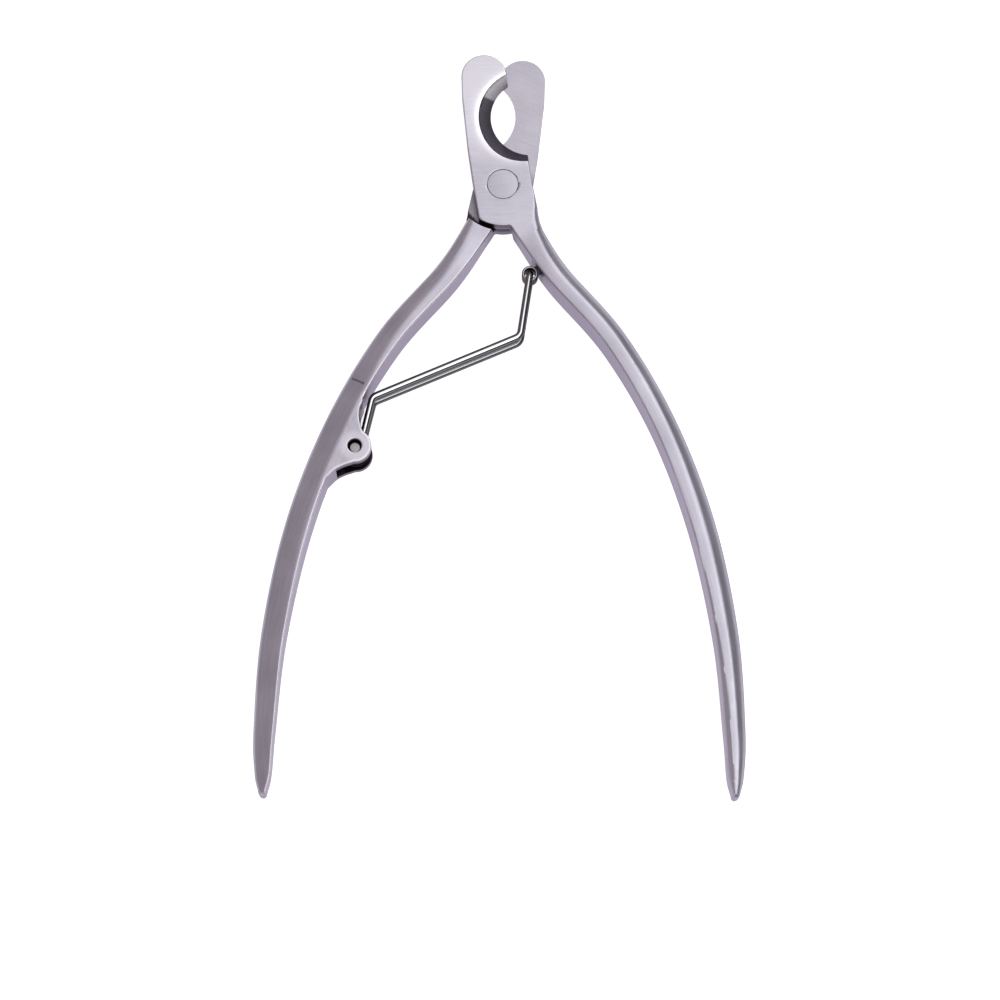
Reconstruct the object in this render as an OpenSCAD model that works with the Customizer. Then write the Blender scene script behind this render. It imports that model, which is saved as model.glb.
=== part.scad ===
// Scissor nail clipper: two forged levers crossing at a flush rivet, opened by a folded wire spring.
// It lies flat with its jaws towards +Y. The drawing is made about the pivot axis, then moved so that
// the origin is at the middle of the resting footprint.

/* [Handles] */
// Thickness of the handles, which is the height of the whole tool
handle_t = 6.2; // [5.8:0.1:6.4]
// Width of the handles just below the joint
handle_w = 4.1; // [3.9:0.05:4.3]

/* [Joint] */
// Thickness of each lever's plate at the joint and jaw
plate_t = 2.1; // [1.8:0.05:2.4]
// Radius of the round heel of each joint plate
heel_r = 6.5; // [6.2:0.1:6.8]
// Radius of the recess that the other lever's heel turns in
recess_r = 7.2; // [7:0.05:7.5]
// Diameter of the rivet's flush heads
rivet_d = 4.55; // [4.4:0.05:5]
// Gap between the two levers' sliding faces
lap_gap = 0.04; // [0.02:0.01:0.1]
// Radial clearance around the rivet in the lever that turns on it
running_gap = 0.03; // [0.02:0.01:0.08]

/* [Jaws] */
// Radius of each jaw's round nose
nose_r = 3.4; // [3.2:0.1:3.6]
// Radius of the hollow cutting edge
cut_r = 6; // [5.7:0.1:6.2]
// Radius of the hollow where its bevel meets the outer face
bevel_r = 7.7; // [7.3:0.1:7.9]

/* [Spring] */
// Diameter of the spring wire
wire_d = 1.05; // [0.9:0.05:1.1]
// Diameter of the pin that the folded end hooks on
pin_d = 2; // [1.8:0.1:2.1]
// Outer diameter of the eye that the free ends hook into
eye_d = 2.4; // [2.3:0.1:2.6]
// Hole through the eye
eye_hole_d = 1.6; // [1.5:0.05:1.7]
// Height of the slot in the left handle that the spring swings in
slot_h = 3.4; // [3.2:0.1:3.6]

/* [Hidden] */
$fn = 64;
EPS = 0.01;

// How far the pivot axis lies ahead of the middle of the footprint
pivot_y = 35.55;
mid_z = handle_t / 2;
front_z = mid_z + plate_t;
back_z = mid_z - plate_t;

// Jaw and joint plate of the lever whose jaw is on the left
nose_c = [-2.9, 17.2];
jaw_back = [[-6.3, 17.2], [-6.2, 14.2], [-5.3, 6], [-4.4, 0]];
jaw_front = [[4.4, 0], [3.85, 3.5], [3.7, 5.6], [0.5, 17.2]];
heel_wedge = [[-4.4, 0], [-3.2, -6.9], [5.9, -6.9], [4.4, 0]];
shoulder = [[0, -3], [4.4, 0], [4.96, -2.9], [5.5, -5.55], [5.85, -6.6], [4.1, -7.5]];
cut_c = [4.15, 11.4];
bevel_c = [4, 10.75];

// Rivet: two flush heads on a shank
rivet_shank_r = 1.9;
rivet_head_h = 0.8;

// Centreline of the right handle: x, y, width and half-thickness as shares of the largest, and how far
// the outer and the inner corners are rounded
full_t = handle_t / 2;
joint_t = plate_t / full_t;
spine = [
    [1.1, -2, 1.1, joint_t, 0.1, 0.1],
    [4.1, -7.5, 0.97, joint_t, 0.15, 0.1],
    [8.25, -14, 0.89, 0.9, 1.1, 0.25],
    [16.55, -24, 0.86, 1, 1.4, 0.35],
    [23.8, -37, 0.86, 1, 1.45, 0.4],
    [29.15, -52, 0.89, 1, 1.45, 0.4],
    [32.35, -68, 0.84, 0.95, 1.4, 0.4],
    [33.4, -82, 0.725, 0.84, 1.2, 0.4],
    [33.5, -90.6, 0.53, 0.7, 0.8, 0.4]
];
SPINE_STEPS = 6;
CORNER_STEPS = 5;
CAP_STEPS = 4;

// Spring, seen from above: the pin, where the hook begins, the two bends, the eye and the tips in it.
// The tips sit a little low in the eye at rest, and cross its middle as the handles close
pin_c = [-21.2, -40.75];
hook_neck = [-20.1, -38.75];
left_bend = [-18.8, -32.9];
right_bend = [2.7, -23.5];
eye_c = [4.1, -13.65];
eye_tip = eye_c - [0, 0.12];
wire_r = wire_d / 2;
// Height of the slot's middle, and half the spacing of the wire's two strands along the spring
slot_z = mid_z - 0.15;
strand_at_hook = 1.1;
strand_at_left = 1.45;
strand_at_right = 1.6;
strand_at_eye = 1.8;
tip_z = 0.35;
WIRE_SIDES = 12;
hook_r = pin_d / 2 + wire_r + 0.05;
hook_turn = 215;
bend_r = 1.2;
pin_sunk = 1.15;

// Eye: a ring on a short shank, seated in a round spot face of the handle's inner side
eye_h = 2.4;
eye_shank_r = 0.7;
eye_shank_l = 3.4;
eye_angle = 37.5;
eye_seat_r = 1.35;
eye_seat_at = 1.7;

// Clevis on the left handle: boss round the pin, and the slot's outline
boss_r = 2.4;
boss_web = [[-23.8, -37], [-22, -33], [-20.2, -33.6], [-20.6, -35.2], [-20.6, -36.7],
            [-20.15, -38.4], [-19.2, -39.7], [-19.2, -42], [-21.2, -43.1], [-22.7, -43.65],
            [-24, -44.35], [-25.9, -46], [-26.8, -44]];
slot_outline = [[-19.2, -34.3], [-21.3, -35.8], [-23.3, -39.5], [-24.1, -44.2], [-22, -48],
                [-15, -46], [-15, -34.3]];

// A point on the smooth curve through a list's points: at = 2.5 is halfway from point 2 to point 3
function knot(list, i) =
    i < 0 ? 2 * list[0] - list[1]
    : i >= len(list) ? 2 * list[len(list) - 1] - list[len(list) - 2]
    : list[i];
function on_spline(list, at) =
    let (i = min(floor(at), len(list) - 2), t = at - i,
         a = knot(list, i - 1), b = knot(list, i), c = knot(list, i + 1), d = knot(list, i + 2))
    (2 * b + (c - a) * t + (2 * a - 5 * b + 4 * c - d) * t * t
        + (3 * b - a - 3 * c + d) * t * t * t) / 2;
function unit(v) = v / norm(v);
function flat(p) = [p.x, p.y];
function arc(c, r, from, to, steps) =
    [for (k = [0:steps]) let (a = from + (to - from) * k / steps) c + r * [cos(a), sin(a)]];

// One cross-section of a handle: half-width, half-thickness, outer and inner corner radii
function corner(cx, cz, rx, rz, from) =
    [for (k = [0:CORNER_STEPS]) let (a = from + 90 * k / CORNER_STEPS)
        [cx + rx * cos(a), cz + rz * sin(a)]];
function section(w, h, outer, inner) =
    let (ro = min(outer, w * 0.95), ri = min(inner, w * 0.95), zo = min(outer, h * 0.8),
         zi = min(inner * 1.4, h * 0.8))
    concat(corner(w - ro, h - zo, ro, zo, 0), corner(ri - w, h - zi, ri, zi, 90),
           corner(ri - w, zi - h, ri, zi, 180), corner(w - ro, zo - h, ro, zo, 270));

// Stations along the handle, then a few shrinking ones that round off its end
function station(at) =
    let (s = on_spline(spine, at), d = on_spline(spine, at + EPS) - on_spline(spine, at - EPS))
    [flat(s), unit(flat(d)), s[2] * handle_w / 2, min(s[3], 1) * full_t, s[4], s[5]];
last_station = station(len(spine) - 1);
end_r = last_station[2];
stations = concat(
    [for (k = [0:(len(spine) - 1) * SPINE_STEPS]) station(k / SPINE_STEPS)],
    [for (k = [1:CAP_STEPS]) let (a = 80 * k / CAP_STEPS, s = last_station)
        [s[0] + s[1] * end_r * sin(a), s[1], s[2] * cos(a), s[3] * (0.5 + 0.5 * cos(a)),
         s[4] * cos(a), s[5] * cos(a)]]
);

// A closed solid from rings that all have the same number of points
module loft(rings) {
    n = len(rings[0]);
    last = len(rings) - 1;
    sides = [for (i = [0:last - 1], j = [0:n - 1])
        let (a = i * n + j, b = i * n + (j + 1) % n) each [[a, b + n, b], [a, a + n, b + n]]];
    caps = [[for (j = [0:n - 1]) j], [for (j = [n - 1:-1:0]) last * n + j]];
    polyhedron(points = [for (r = rings) each r], faces = concat(sides, caps));
}

module handle() {
    loft([for (s = stations) let (across = [-s[1].y, s[1].x])
        [for (p = section(s[2], s[3], s[4], s[5]))
            [s[0].x + across.x * p.x, s[0].y + across.y * p.x, mid_z + p.y]]]);
}

module plate_outline() {
    translate(nose_c) circle(nose_r);
    polygon(concat(jaw_back, jaw_front));
    intersection() {
        circle(heel_r);
        polygon(heel_wedge);
    }
    polygon(shoulder);
}

// The hollow in the jaw: a slanting cone from the cutting edge out to the face
module hollow() {
    hull() {
        translate([cut_c.x, cut_c.y, mid_z]) cylinder(h = EPS, r = cut_r, $fn = 48);
        translate([bevel_c.x, bevel_c.y, front_z]) cylinder(h = EPS, r = bevel_r, $fn = 48);
    }
    translate([cut_c.x, cut_c.y, mid_z - 1]) cylinder(h = 1 + 2 * EPS, r = cut_r);
}

// The rivet's shape, grown by gap all round
module rivet_form(gap) {
    r = rivet_d / 2 + gap;
    s = rivet_shank_r + gap;
    out = gap > 0 ? 1 : 0;
    rotate_extrude()
        polygon([[0, back_z - out], [r, back_z - out], [r, back_z], [s, back_z + rivet_head_h],
                 [s, front_z - rivet_head_h], [r, front_z], [r, front_z + out],
                 [0, front_z + out]]);
}

// One lever: jaw on the left, plate above the lap plane, handle on the right
module lever_blank() {
    difference() {
        union() {
            translate([0, 0, mid_z + lap_gap / 2])
                linear_extrude(plate_t - lap_gap / 2) plate_outline();
            difference() {
                handle();
                translate([0, 0, -1]) cylinder(h = mid_z + lap_gap / 2 + 1, r = recess_r);
            }
        }
        hollow();
    }
}

module eye_place() {
    translate([eye_c.x, eye_c.y, mid_z]) rotate([0, 0, eye_angle]) rotate([0, 90, 0]) children();
}

module front_lever() {
    color("silver") difference() {
        lever_blank();
        rivet_form(running_gap);
        eye_place() cylinder(h = eye_shank_l, r = eye_shank_r);
        eye_place() cylinder(h = eye_seat_at, r = eye_seat_r);
    }
}

module back_lever() {
    color("silver") difference() {
        union() {
            translate([0, 0, handle_t]) rotate([0, 180, 0]) lever_blank();
            linear_extrude(handle_t) {
                translate(pin_c) circle(boss_r);
                polygon(boss_web);
            }
        }
        translate([0, 0, slot_z - slot_h / 2]) linear_extrude(slot_h) polygon(slot_outline);
        translate([pin_c.x, pin_c.y, -1]) cylinder(h = handle_t + 2, d = pin_d);
        translate([0, 0, back_z - 1]) cylinder(h = 1 + EPS, r = rivet_d / 2);
        rivet_form(0);
    }
}

module pivot_rivet() {
    color("gainsboro") rivet_form(0);
}

// Pressed into both ears, its chamfered ends sunk below them
module spring_pin() {
    r = pin_d / 2;
    c = r * 0.28;
    top = handle_t - pin_sunk;
    color("gainsboro") translate(pin_c) rotate_extrude()
        polygon([[0, 0.3], [r - c, 0.3], [r, 0.3 + c], [r, top - c], [r - c, top], [0, top]]);
}

module spring_eye() {
    color("gainsboro") difference() {
        union() {
            translate([eye_c.x, eye_c.y, mid_z - eye_h / 2]) cylinder(h = eye_h, d = eye_d);
            eye_place() cylinder(h = eye_shank_l, r = eye_shank_r);
        }
        translate([eye_c.x, eye_c.y, -1]) cylinder(h = handle_t + 2, d = eye_hole_d);
    }
}

// A round wire along a path, with a radius for each of its points
function along(path, i) = unit(path[min(i + 1, len(path) - 1)] - path[max(i - 1, 0)]);
function carried(u, t) = unit(u - (u * t) * t);
module wire(path, radii, start_normal) {
    normals = [for (i = 0, u = carried(start_normal, along(path, 0)); i < len(path);
                    i = i + 1, u = i < len(path) ? carried(u, along(path, i)) : u) u];
    loft([for (i = [0:len(path) - 1])
        let (u = normals[i], v = cross(u, along(path, i)))
        [for (j = [0:WIRE_SIDES - 1]) let (a = -360 * j / WIRE_SIDES)
            path[i] + radii[i] * (cos(a) * u + sin(a) * v)]]);
}

// A rounded corner at b on the way from a to c
function bend(a, b, c, r, steps) =
    let (u = unit(a - b), v = unit(c - b), half = acos(u * v) / 2, l = r / tan(half))
    [for (k = [0:steps]) let (t = k / steps)
        b + l * (u * (1 - t) * (1 - t) + v * t * t)];
function at_height(p, z) = [p.x, p.y, z];

// Where the wire meets the hook's circle round the pin, and leaves it
to_neck = hook_neck - pin_c;
hook_from = atan2(to_neck.y, to_neck.x) - acos(hook_r / norm(to_neck));
hook_to = hook_from - hook_turn;

// One strand from the right bend to the hook's end; s is 1 for the upper strand, -1 for the lower
function strand(s) =
    let (right = at_height(right_bend, mid_z + s * strand_at_right),
         left = at_height(left_bend, slot_z + s * strand_at_left),
         z = slot_z + s * strand_at_hook,
         neck = at_height(hook_neck, z),
         hook = [for (p = arc(pin_c, hook_r, hook_from, hook_to, 14)) at_height(p, z)])
    concat([right, (right + left) / 2], bend(right, left, neck, bend_r, 6),
           bend(left, neck, hook[0], bend_r, 3), hook);

// The half turn that joins the two strands past the hook
hook_tip = pin_c + hook_r * [cos(hook_to), sin(hook_to)];
tip_way = [sin(hook_to), -cos(hook_to)];
fold = [for (k = [1:7]) let (a = 90 - 180 * k / 8)
    at_height(hook_tip + tip_way * strand_at_hook * cos(a), slot_z + strand_at_hook * sin(a))];

// A ball end past the first point of a path, pointing along d
BALL_STEPS = 4;
function ball(p, d) = [for (k = [1:BALL_STEPS]) let (a = 104 - 26 * k) p + d * wire_r * sin(a)];
ball_radii = [for (k = [1:BALL_STEPS]) wire_r * cos(104 - 26 * k)];
function reversed(list) = [for (i = [len(list) - 1:-1:0]) list[i]];
function rest(list) = [for (i = [1:len(list) - 1]) list[i]];

module spring_hook_arm() {
    upper = strand(1);
    lower = strand(-1);
    start = ball(upper[0], unit(upper[0] - upper[1]));
    finish = ball(lower[0], unit(lower[0] - lower[1]));
    middle = concat(rest(upper), fold, reversed(rest(lower)));
    radii = concat(ball_radii, [for (p = middle) wire_r], reversed(ball_radii));
    color("lightgray") wire(concat(start, middle, reversed(finish)), radii, [0, 0, 1]);
}

// The two free ends, from just past the right bend to their turned-in tips in the eye
module spring_eye_arm() {
    color("lightgray") for (s = [-1, 1]) {
        from = at_height(right_bend, mid_z + s * strand_at_right);
        corner_at = at_height(eye_tip, mid_z + s * strand_at_eye);
        start = from + unit(corner_at - from) * (wire_r + 0.03);
        tip = at_height(eye_tip, mid_z + s * tip_z);
        path = concat([start, (start + corner_at) / 2], bend(start, corner_at, tip, 0.7, 6), [tip]);
        wire(path, [for (p = path) wire_r], [0, 0, 1]);
    }
}

module placed() {
    translate([0, pivot_y, 0]) children();
}

placed() front_lever();
placed() back_lever();
placed() pivot_rivet();
placed() spring_pin();
placed() spring_eye();
placed() spring_hook_arm();
placed() spring_eye_arm();
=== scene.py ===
"""Looks of the scissor nail clipper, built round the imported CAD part.

Shapes are worked out in millimetres about the pivot axis, with the jaws towards +Y and +Z up, as in
part.scad, and are moved into the frame in metres when a mesh is made. Both levers are one forging:
the front one lies as drawn, and the back one is turned half a turn about the Y axis.
"""

import math

import bmesh
import bpy
import numpy as np
from mathutils import Matrix, Vector
from mathutils.geometry import delaunay_2d_cdt


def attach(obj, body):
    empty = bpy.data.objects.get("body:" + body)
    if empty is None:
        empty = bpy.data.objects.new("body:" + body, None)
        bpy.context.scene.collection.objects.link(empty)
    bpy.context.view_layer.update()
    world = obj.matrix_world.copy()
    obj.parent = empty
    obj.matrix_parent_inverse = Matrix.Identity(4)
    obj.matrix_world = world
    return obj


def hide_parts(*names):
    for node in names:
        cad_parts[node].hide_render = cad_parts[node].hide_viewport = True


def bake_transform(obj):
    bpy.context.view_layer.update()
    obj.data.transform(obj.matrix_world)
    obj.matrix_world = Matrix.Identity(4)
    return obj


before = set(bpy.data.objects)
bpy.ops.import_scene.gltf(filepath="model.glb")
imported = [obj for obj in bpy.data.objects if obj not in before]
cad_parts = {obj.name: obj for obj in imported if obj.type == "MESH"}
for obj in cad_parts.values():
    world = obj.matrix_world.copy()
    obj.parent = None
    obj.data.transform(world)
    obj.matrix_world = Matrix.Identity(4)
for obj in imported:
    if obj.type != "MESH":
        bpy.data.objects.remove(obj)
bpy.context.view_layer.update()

# ---------------------------------------------------------------- sizes, in mm about the pivot axis
PIVOT_Y = 35.55
HANDLE_T = 6.2
MID = HANDLE_T / 2
PLATE_T = 2.1
LAP = 0.02
HEEL_R = 6.5
RECESS_R = 7.2
RIVET_R = 2.275

NOSE_C, NOSE_R = (-2.9, 17.2), 3.4
JAW = [(-6.3, 17.2), (-6.2, 14.2), (-5.3, 6), (-4.4, 0), (4.4, 0), (3.85, 3.5), (3.7, 5.6), (0.5, 17.2)]
HEEL_WEDGE = [(-4.4, 0), (-3.2, -6.9), (5.9, -6.9), (4.4, 0)]
SHOULDER = [(0, -3), (4.4, 0), (4.96, -2.9), (5.5, -5.55), (5.85, -6.6), (4.1, -7.5)]
CUT_C, CUT_R = np.array((4.15, 11.4)), 6.0
BEVEL_C, BEVEL_R = np.array((4.0, 10.75)), 7.7

# Centreline of the handle: x, y, half-width, half-thickness, how far the face slopes off towards the
# outer side, on the plate side and on the lap side, and the inner chamfer on the plate side
SPINE = np.array([
    (1.1, -2, 2.26, 2.1, 0.1, 0.1, 0.2),
    (4.1, -7.5, 1.99, 2.1, 1.2, 1.3, 0.2),
    (8.25, -14, 1.82, 2.79, 1.85, 2.1, 0.2),
    (16.55, -24, 1.76, 3.1, 1.75, 2.75, 0.22),
    (23.8, -37, 1.76, 3.1, 1.75, 3.6, 0.25),
    (29.15, -52, 1.82, 3.1, 1.9, 3.3, 0.35),
    (32.35, -68, 1.72, 2.95, 1.75, 3.5, 0.6),
    (33.4, -82, 1.49, 2.6, 1.3, 3.5, 0.95),
    (33.45, -88.4, 1.14, 2.25, 0.9, 2.8, 0.85),
    (33.45, -91.1, 0.55, 1.95, 0.5, 1.4, 0.4),
])
PLATE_SLOPE, LAP_SLOPE = 0.6, 0.36
OUTER_ROUND = 0.4
INNER_ROUND = 0.2
CROWN = 0.11

PIN_C, PIN_R = (-21.2, -40.75), 1.0
PIN_SUNK = 1.15
SLOT_Z, SLOT_H = MID - 0.15, 3.4
BOSS_R = 2.4
BOSS_WEB = [(-23.8, -37), (-22, -33), (-20.2, -33.6), (-20.6, -35.2), (-20.6, -36.7),
            (-20.15, -38.4), (-19.2, -39.7), (-19.2, -42), (-21.2, -43.1), (-22.7, -43.65),
            (-24, -44.35), (-25.9, -46), (-26.8, -44)]
SLOT = [(-19.2, -34.3), (-21.3, -35.8), (-23.3, -39.5), (-24.1, -44.2), (-22, -48)]

WIRE_R = 0.525
HOOK_NECK = (-20.1, -38.75)
LEFT_BEND = (-18.8, -32.9)
RIGHT_BEND = (2.7, -23.5)
EYE_C = (4.1, -13.65)
EYE_TIP = (4.1, -13.77)
EYE_R, EYE_HOLE_R, EYE_H = 1.2, 0.8, 2.4
EYE_ANGLE = math.radians(37.5)


# ---------------------------------------------------------------- plane geometry
def chunks(p, width):
    return np.array_split(p, max(1, len(p) * width // 1_500_000))


def distance_to(p, line):
    """Distance of points to a closed outline."""
    a, ab = line, np.roll(line, -1, 0) - line
    near = []
    for q in chunks(p, len(a)):
        d = q[:, None] - a
        t = np.clip((d * ab).sum(2) / (ab * ab).sum(1), 0, 1)
        near.append(np.sqrt(((d - t[..., None] * ab) ** 2).sum(2).min(1)))
    return np.concatenate(near)


def inside(p, line):
    a, b = line, np.roll(line, -1, 0)
    rise = np.where(a[:, 1] == b[:, 1], 1e-12, b[:, 1] - a[:, 1])
    found = []
    for q in chunks(p, len(a)):
        x, y = q[:, :1], q[:, 1:]
        crossing = (a[:, 1] > y) != (b[:, 1] > y)
        at = a[:, 0] + (y - a[:, 1]) * (b[:, 0] - a[:, 0]) / rise
        found.append((crossing & (x < at)).sum(1) % 2 == 1)
    return np.concatenate(found)


def polygon_field(p, corners):
    line = np.array(corners, float)
    d = distance_to(p, line)
    return np.where(inside(p, line), -d, d)


def circle_field(p, centre, r):
    return np.hypot(p[:, 0] - centre[0], p[:, 1] - centre[1]) - r


def spline(rows, at):
    """Smooth curve through the rows; at = 2.5 is halfway from row 2 to row 3."""
    padded = np.vstack([2 * rows[0] - rows[1], rows, 2 * rows[-1] - rows[-2]])
    i = np.minimum(at.astype(int), len(rows) - 2)
    t = (at - i)[:, None]
    a, b, c, d = (padded[i + k] for k in range(4))
    return (2 * b + (c - a) * t + (2 * a - 5 * b + 4 * c - d) * t**2 + (3 * b - a - 3 * c + d) * t**3) / 2


SAMPLES = spline(SPINE, np.linspace(0, len(SPINE) - 1, 30 * len(SPINE) - 29))
SAMPLES[:, 3] = np.maximum(SAMPLES[:, 3], PLATE_T)
LINE = SAMPLES[:, :2]
STEP = np.diff(LINE, axis=0)
RUN = np.concatenate([[0], np.cumsum(np.hypot(*STEP.T))])


def handle_coords(p):
    """Length along the handle, offset to the outer side, distance to its edge, and the samples' values."""
    runs, offs, dists, values = [], [], [], []
    for q in chunks(p, len(STEP)):
        d = q[:, None] - LINE[:-1]
        t = np.clip((d * STEP).sum(2) / (STEP * STEP).sum(1), 0, 1)
        gap = d - t[..., None] * STEP
        far = (gap**2).sum(2)
        k = far.argmin(1)
        r = np.arange(len(q))
        run = RUN[k] + t[r, k] * (RUN[k + 1] - RUN[k])
        side = STEP[k] / np.hypot(*STEP[k].T)[:, None]
        runs.append(run)
        offs.append(gap[r, k, 0] * -side[:, 1] + gap[r, k, 1] * side[:, 0])
        dists.append(np.sqrt(far[r, k]))
        values.append(np.stack([np.interp(run, RUN, SAMPLES[:, c]) for c in range(2, 7)], 1))
    return np.concatenate(runs), np.concatenate(offs), np.concatenate(dists), np.concatenate(values)


def plate_field(p):
    jaw = np.minimum(circle_field(p, NOSE_C, NOSE_R), polygon_field(p, JAW))
    heel = np.maximum(circle_field(p, (0, 0), HEEL_R), polygon_field(p, HEEL_WEDGE))
    jaw = np.minimum(np.minimum(jaw, heel), polygon_field(p, SHOULDER))
    return np.maximum(jaw, -circle_field(p, CUT_C, CUT_R))


def handle_field(p):
    _, _, dist, v = handle_coords(p)
    return dist - v[:, 0]


def blank_field(p):
    return np.minimum(plate_field(p), handle_field(p))


def mirrored(points):
    return [(-x, y) for x, y in points]


WEB_LINE = spline(np.array(mirrored(BOSS_WEB)), np.linspace(0, len(BOSS_WEB) - 1, 73))


def boss_field(p):
    return np.minimum(circle_field(p, mirrored([PIN_C])[0], BOSS_R), polygon_field(p, WEB_LINE))


def clevis_field(p):
    return np.minimum(blank_field(p), boss_field(p))


def contour(field, low, high, step, spacing):
    """The longest closed line on which field is zero, anticlockwise, with evenly spaced points."""
    xs, ys = np.arange(low[0], high[0], step), np.arange(low[1], high[1], step)
    gx, gy = np.meshgrid(xs, ys, indexing="ij")
    f = field(np.stack([gx.ravel(), gy.ravel()], 1)).reshape(gx.shape)
    inner = f < 0
    count = inner[:-1, :-1].astype(int) + inner[1:, :-1] + inner[:-1, 1:] + inner[1:, 1:]
    follow = {}
    for i, j in np.argwhere((count > 0) & (count < 4)):
        ring = [(i, j), (i + 1, j), (i + 1, j + 1), (i, j + 1)]
        keys = [(i, j, 0), (i + 1, j, 1), (i, j + 1, 0), (i, j, 1)]
        change = [(keys[k], inner[ring[k]]) for k in range(4) if inner[ring[k]] != inner[ring[(k + 1) % 4]]]
        for k, (key, leaving) in enumerate(change):
            if leaving:
                follow[key] = change[(k + 1) % len(change)][0]
    best = []
    while follow:
        key = next(iter(follow))
        loop = []
        while key in follow:
            loop.append(key)
            key = follow.pop(key)
        best = max(best, loop, key=len)

    def point(key):
        i, j, up = key
        k, m = (i, j + 1) if up else (i + 1, j)
        t = f[i, j] / (f[i, j] - f[k, m])
        return xs[i] + (xs[k] - xs[i]) * t, ys[j] + (ys[m] - ys[j]) * t

    loop = np.array([point(key) for key in best])
    for _ in range(2):
        closed = np.vstack([loop, loop[:1]])
        length = np.concatenate([[0], np.cumsum(np.hypot(*np.diff(closed, axis=0).T))])
        at = np.linspace(0, length[-1], int(length[-1] / spacing) + 1)[:-1]
        loop = np.stack([np.interp(at, length, closed[:, c]) for c in (0, 1)], 1)
        for _ in range(3):
            h = 1e-3
            g = np.stack([field(loop + [h, 0]) - field(loop - [h, 0]),
                          field(loop + [0, h]) - field(loop - [0, h])], 1) / (2 * h)
            g /= np.maximum(np.hypot(*g.T), 0.5)[:, None]
            loop = loop - g * np.clip(field(loop), -0.1, 0.1)[:, None]
    return loop


# ---------------------------------------------------------------- the forging's two faces
def drop(e, reach, depth):
    """How far a face has fallen at a distance e from an edge that is rounded over reach, by depth."""
    x = np.clip(1 - e / np.maximum(reach, 1e-6), 0, 1)
    return depth * (1 - np.sqrt(np.maximum(1 - x * x, 0)))


def slope_off(e, reach, depth):
    """How far a face has sloped down at a distance e from its outer edge, with the edge itself rounded."""
    x = np.clip(1 - e / np.maximum(reach, 1e-6), 0, 1)
    edge_round = np.minimum(OUTER_ROUND, reach * 0.5)
    return depth * x**1.6 + drop(e, edge_round, edge_round)


def smooth(x, low, high):
    t = np.clip((x - low) / (high - low), 0, 1)
    return t * t * (3 - 2 * t)


def bevel_share(p):
    """0 at the cutting edge, 1 where the hollow's slanting wall meets the face, above 1 outside it."""
    low, high = np.zeros(len(p)), np.full(len(p), 3.0)
    for _ in range(30):
        u = (low + high) / 2
        c = CUT_C + (BEVEL_C - CUT_C) * u[:, None]
        out = np.hypot(*(p - c).T) > CUT_R + (BEVEL_R - CUT_R) * u
        low, high = np.where(out, u, low), np.where(out, high, u)
    # the wall narrows towards its lower end
    turn = np.degrees(np.arctan2(*(p - CUT_C).T[::-1])) % 360
    return (low + high) / 2 / (1 - 0.32 * smooth(turn, 225, 285))


def hollow_line(share):
    """The line on the wall, or just outside it, on which bevel_share has one value."""
    a = np.radians(np.linspace(70, 310, 140))
    way = np.stack([np.cos(a), np.sin(a)], 1)
    low, high = np.full(len(a), CUT_R - 0.5), np.full(len(a), 13.0)
    for _ in range(24):
        r = (low + high) / 2
        over = bevel_share(CUT_C + way * r[:, None]) > share
        low, high = np.where(over, low, r), np.where(over, r, high)
    return CUT_C + way * low[:, None]


def plate_side(p, edge, hole):
    """Height of the face that carries the plate, above the middle plane, and the handle's coordinates."""
    run, t, dist, v = handle_coords(p)
    half, thick, round_out, chamfer = v[:, 0], v[:, 1], v[:, 2], v[:, 4]
    e_out = np.where(t > 0, half - dist, half - t)
    e_in = np.where(t < 0, half - dist, half + t)
    handle = thick - slope_off(e_out, round_out, round_out * PLATE_SLOPE)
    handle = handle - drop(e_in, INNER_ROUND, INNER_ROUND) - 0.8 * np.clip(chamfer - 0.2 - e_in, 0, 1)
    handle = handle - CROWN * smooth(run, 4, 14) * (t / half) ** 2
    handle = np.where(run < RUN[30], np.minimum(handle, PLATE_T), handle)
    shoulder_round = np.where(t > 0, 0.13 + 0.95 * smooth(run, 0.5, 6), 0.13)
    plate = PLATE_T - drop(edge, shoulder_round, shoulder_round * 0.8)
    on_plate, on_handle = plate_field(p) < 0.01, dist < half + 0.01
    z = np.where(on_plate & on_handle, np.maximum(plate, handle), np.where(on_plate, plate, handle))
    u = bevel_share(p)
    wall = 0.05 + (PLATE_T - 0.05) * u
    z = np.where(u < 1.35, np.minimum(z - 0.05 * (1 - smooth(u, 1.0, 1.35)), wall), z)
    if hole:
        z = z - drop(np.hypot(*p.T) - hole, 0.05, 0.05)
    return z, run, t, u


def lap_side(p, edge):
    """Height of the other face below the middle plane: the lap plane, then the handle past the recess."""
    run, t, dist, v = handle_coords(p)
    half, thick, reach = v[:, 0], v[:, 1], v[:, 3]
    e_out = np.where(t > 0, half - dist, half - t)
    e_in = np.where(t < 0, half - dist, half + t)
    r = np.hypot(*p.T)
    handle = thick - slope_off(e_out, reach, reach * LAP_SLOPE) - drop(e_in, INNER_ROUND, INNER_ROUND)
    handle = handle - drop(r - RECESS_R - 0.02, 0.14, 0.14)
    k = np.clip((r - RECESS_R) / 0.02, 0, 1) * (dist < half + 0.01)
    return handle * k - LAP * (1 - k)


def lap_tone(p):
    """The lap plane's tone: painted shade beside the other lever's plate, a little darker towards the jaw,
    and painted shade, near black, in the gap round its heel.
    """
    r = np.hypot(*p.T)
    gap = (r > HEEL_R - 0.2) & (r < RECESS_R + 0.06) & (p[:, 1] < -2)
    # painted shade beside the other lever's plate, a little darker towards the jaw; -1 marks the gap's
    # painted shade
    painted_shade_tone = 1 - 0.16 * (1 - smooth(p[:, 1], 0.5, 3.5)) * (r < RECESS_R) - 0.06 * smooth(p[:, 1], 0.5, 5)
    return np.where(gap, -1.0, painted_shade_tone)


def clevis_lift(p, z, level):
    """The clevis's ears are level with the handle's highest line: lifts the face z there to level."""
    _, t, dist, v = handle_coords(p)
    from_outer = np.where(t > 0, v[:, 0] - dist, v[:, 0] - t)
    return z + (level - z) * (1 - smooth(boss_field(p), 0.0, 2.0)) * smooth(from_outer / v[:, 0], 1.4, 1.9)


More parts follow.
